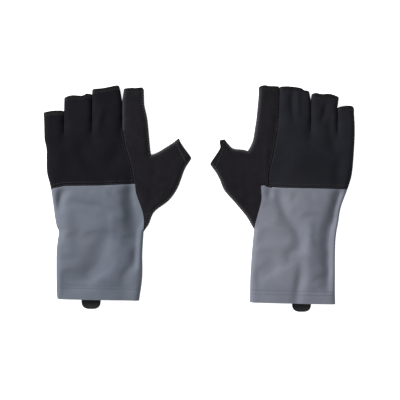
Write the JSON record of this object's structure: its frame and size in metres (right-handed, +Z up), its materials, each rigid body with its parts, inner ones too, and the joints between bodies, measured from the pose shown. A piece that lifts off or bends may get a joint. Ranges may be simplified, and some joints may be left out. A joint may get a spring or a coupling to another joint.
{
  "type": "sailing gloves",
  "caption": "Pair of fingerless sailing gloves lying palm down, with black stretch backs, suede palms that wrap the index finger and thumb, long grey cuffs and pull tabs.",
  "frame": {"origin": "on the ground under the middle of the pair, with the gloves lying palm down", "axes": "+X across the pair from the left glove to the right one, +Y along the fingers, +Z up out of the backs of the gloves"},
  "size_m": [0.327, 0.2383, 0.0134],
  "materials": {
    "black_lycra": "fine stretch knit with a slight sheen",
    "grey_lycra": "smooth two-way stretch knit, satin",
    "black_suede": "brushed synthetic suede, matt, fuzzy at the edges",
    "suede_patch": "second layer of synthetic suede, matt, worn in",
    "binding": "turned and stitched suede edge, slightly paler",
    "tab_rubber": "soft satin rubber"
  },
  "bodies": {
    "left_hand": {"left_back_panel": "black_lycra", "left_back_yoke": "grey_lycra", "left_index_wrap": "black_suede", "left_palm_panel": "black_suede", "left_palm_patch": "suede_patch"},
    "left_cuff": {"left_cuff_back": "grey_lycra", "left_cuff_palm": "grey_lycra"},
    "left_tab": {"left_pull_tab": "tab_rubber"},
    "left_thumb": {"left_thumb_back": "black_suede", "left_thumb_palm": "black_suede", "left_thumb_binding": "binding"},
    "left_index_finger": {"left_index_back": "black_suede", "left_index_palm": "black_suede", "left_index_binding": "binding"},
    "left_middle_finger": {"left_middle_back": "black_lycra", "left_middle_palm": "black_suede", "left_middle_fourchette": "black_lycra", "left_middle_binding": "binding"},
    "left_ring_finger": {"left_ring_back": "black_lycra", "left_ring_palm": "black_suede", "left_ring_fourchette": "black_lycra", "left_ring_binding": "binding"},
    "left_little_finger": {"left_little_back": "black_lycra", "left_little_palm": "black_suede", "left_little_fourchette": "black_lycra", "left_little_binding": "binding"},
    "right_hand": {"right_back_panel": "black_lycra", "right_back_yoke": "grey_lycra", "right_index_wrap": "black_suede", "right_palm_panel": "black_suede", "right_palm_patch": "suede_patch"},
    "right_cuff": {"right_cuff_back": "grey_lycra", "right_cuff_palm": "grey_lycra"},
    "right_tab": {"right_pull_tab": "tab_rubber"},
    "right_thumb": {"right_thumb_back": "black_suede", "right_thumb_palm": "black_suede", "right_thumb_binding": "binding"},
    "right_index_finger": {"right_index_back": "black_suede", "right_index_palm": "black_suede", "right_index_binding": "binding"},
    "right_middle_finger": {"right_middle_back": "black_lycra", "right_middle_palm": "black_suede", "right_middle_fourchette": "black_lycra", "right_middle_binding": "binding"},
    "right_ring_finger": {"right_ring_back": "black_lycra", "right_ring_palm": "black_suede", "right_ring_fourchette": "black_lycra", "right_ring_binding": "binding"},
    "right_little_finger": {"right_little_back": "black_lycra", "right_little_palm": "black_suede", "right_little_fourchette": "black_lycra", "right_little_binding": "binding"}
  },
  "joints": [
    {"name": "right_glove_lift", "type": "slide", "parent": "left_hand", "child": "right_hand", "axis": [0, 0, 1], "range_m": [0, 0.05]},
    {"name": "left_wrist_fold", "type": "hinge", "parent": "left_hand", "child": "left_cuff", "pos_m": [-0.1059, -0.038, 0.0048], "axis": [1, 0, 0], "range_deg": [-50, 50]},
    {"name": "left_tab_flap", "type": "hinge", "parent": "left_cuff", "child": "left_tab", "pos_m": [-0.1142, -0.106, 0.001], "axis": [1, 0, 0], "range_deg": [-80, 80]},
    {"name": "left_thumb_fold", "type": "hinge", "parent": "left_hand", "child": "left_thumb", "pos_m": [-0.05035, 0.014, 0.0052], "axis": [0.124, 0.9923, 0], "range_deg": [-20, 70]},
    {"name": "left_index_knuckle", "type": "hinge", "parent": "left_hand", "child": "left_index_finger", "pos_m": [-0.0675, 0.072, 0.0052], "axis": [-1, 0, 0], "range_deg": [-20, 75]},
    {"name": "left_middle_knuckle", "type": "hinge", "parent": "left_hand", "child": "left_middle_finger", "pos_m": [-0.0971, 0.072, 0.0052], "axis": [-1, 0, 0], "range_deg": [-20, 75]},
    {"name": "left_ring_knuckle", "type": "hinge", "parent": "left_hand", "child": "left_ring_finger", "pos_m": [-0.1273, 0.07, 0.0052], "axis": [-1, 0, 0], "range_deg": [-20, 75]},
    {"name": "left_little_knuckle", "type": "hinge", "parent": "left_hand", "child": "left_little_finger", "pos_m": [-0.1527, 0.066, 0.0052], "axis": [-1, 0, 0], "range_deg": [-20, 75]},
    {"name": "right_wrist_fold", "type": "hinge", "parent": "right_hand", "child": "right_cuff", "pos_m": [0.1057, -0.038, 0.0048], "axis": [1, 0, 0], "range_deg": [-50, 50]},
    {"name": "right_tab_flap", "type": "hinge", "parent": "right_cuff", "child": "right_tab", "pos_m": [0.10785, -0.1098, 0.001], "axis": [1, 0, 0], "range_deg": [-80, 80]},
    {"name": "right_thumb_fold", "type": "hinge", "parent": "right_hand", "child": "right_thumb", "pos_m": [0.05015, 0.014, 0.0052], "axis": [0.124, -0.9923, 0], "range_deg": [-20, 70]},
    {"name": "right_index_knuckle", "type": "hinge", "parent": "right_hand", "child": "right_index_finger", "pos_m": [0.0712, 0.072, 0.0052], "axis": [-1, 0, 0], "range_deg": [-20, 75]},
    {"name": "right_middle_knuckle", "type": "hinge", "parent": "right_hand", "child": "right_middle_finger", "pos_m": [0.1004, 0.072, 0.0052], "axis": [-1, 0, 0], "range_deg": [-20, 75]},
    {"name": "right_ring_knuckle", "type": "hinge", "parent": "right_hand", "child": "right_ring_finger", "pos_m": [0.13075, 0.07, 0.0052], "axis": [-1, 0, 0], "range_deg": [-20, 75]},
    {"name": "right_little_knuckle", "type": "hinge", "parent": "right_hand", "child": "right_little_finger", "pos_m": [0.1541, 0.066, 0.0052], "axis": [-1, 0, 0], "range_deg": [-20, 75]}
  ]
}
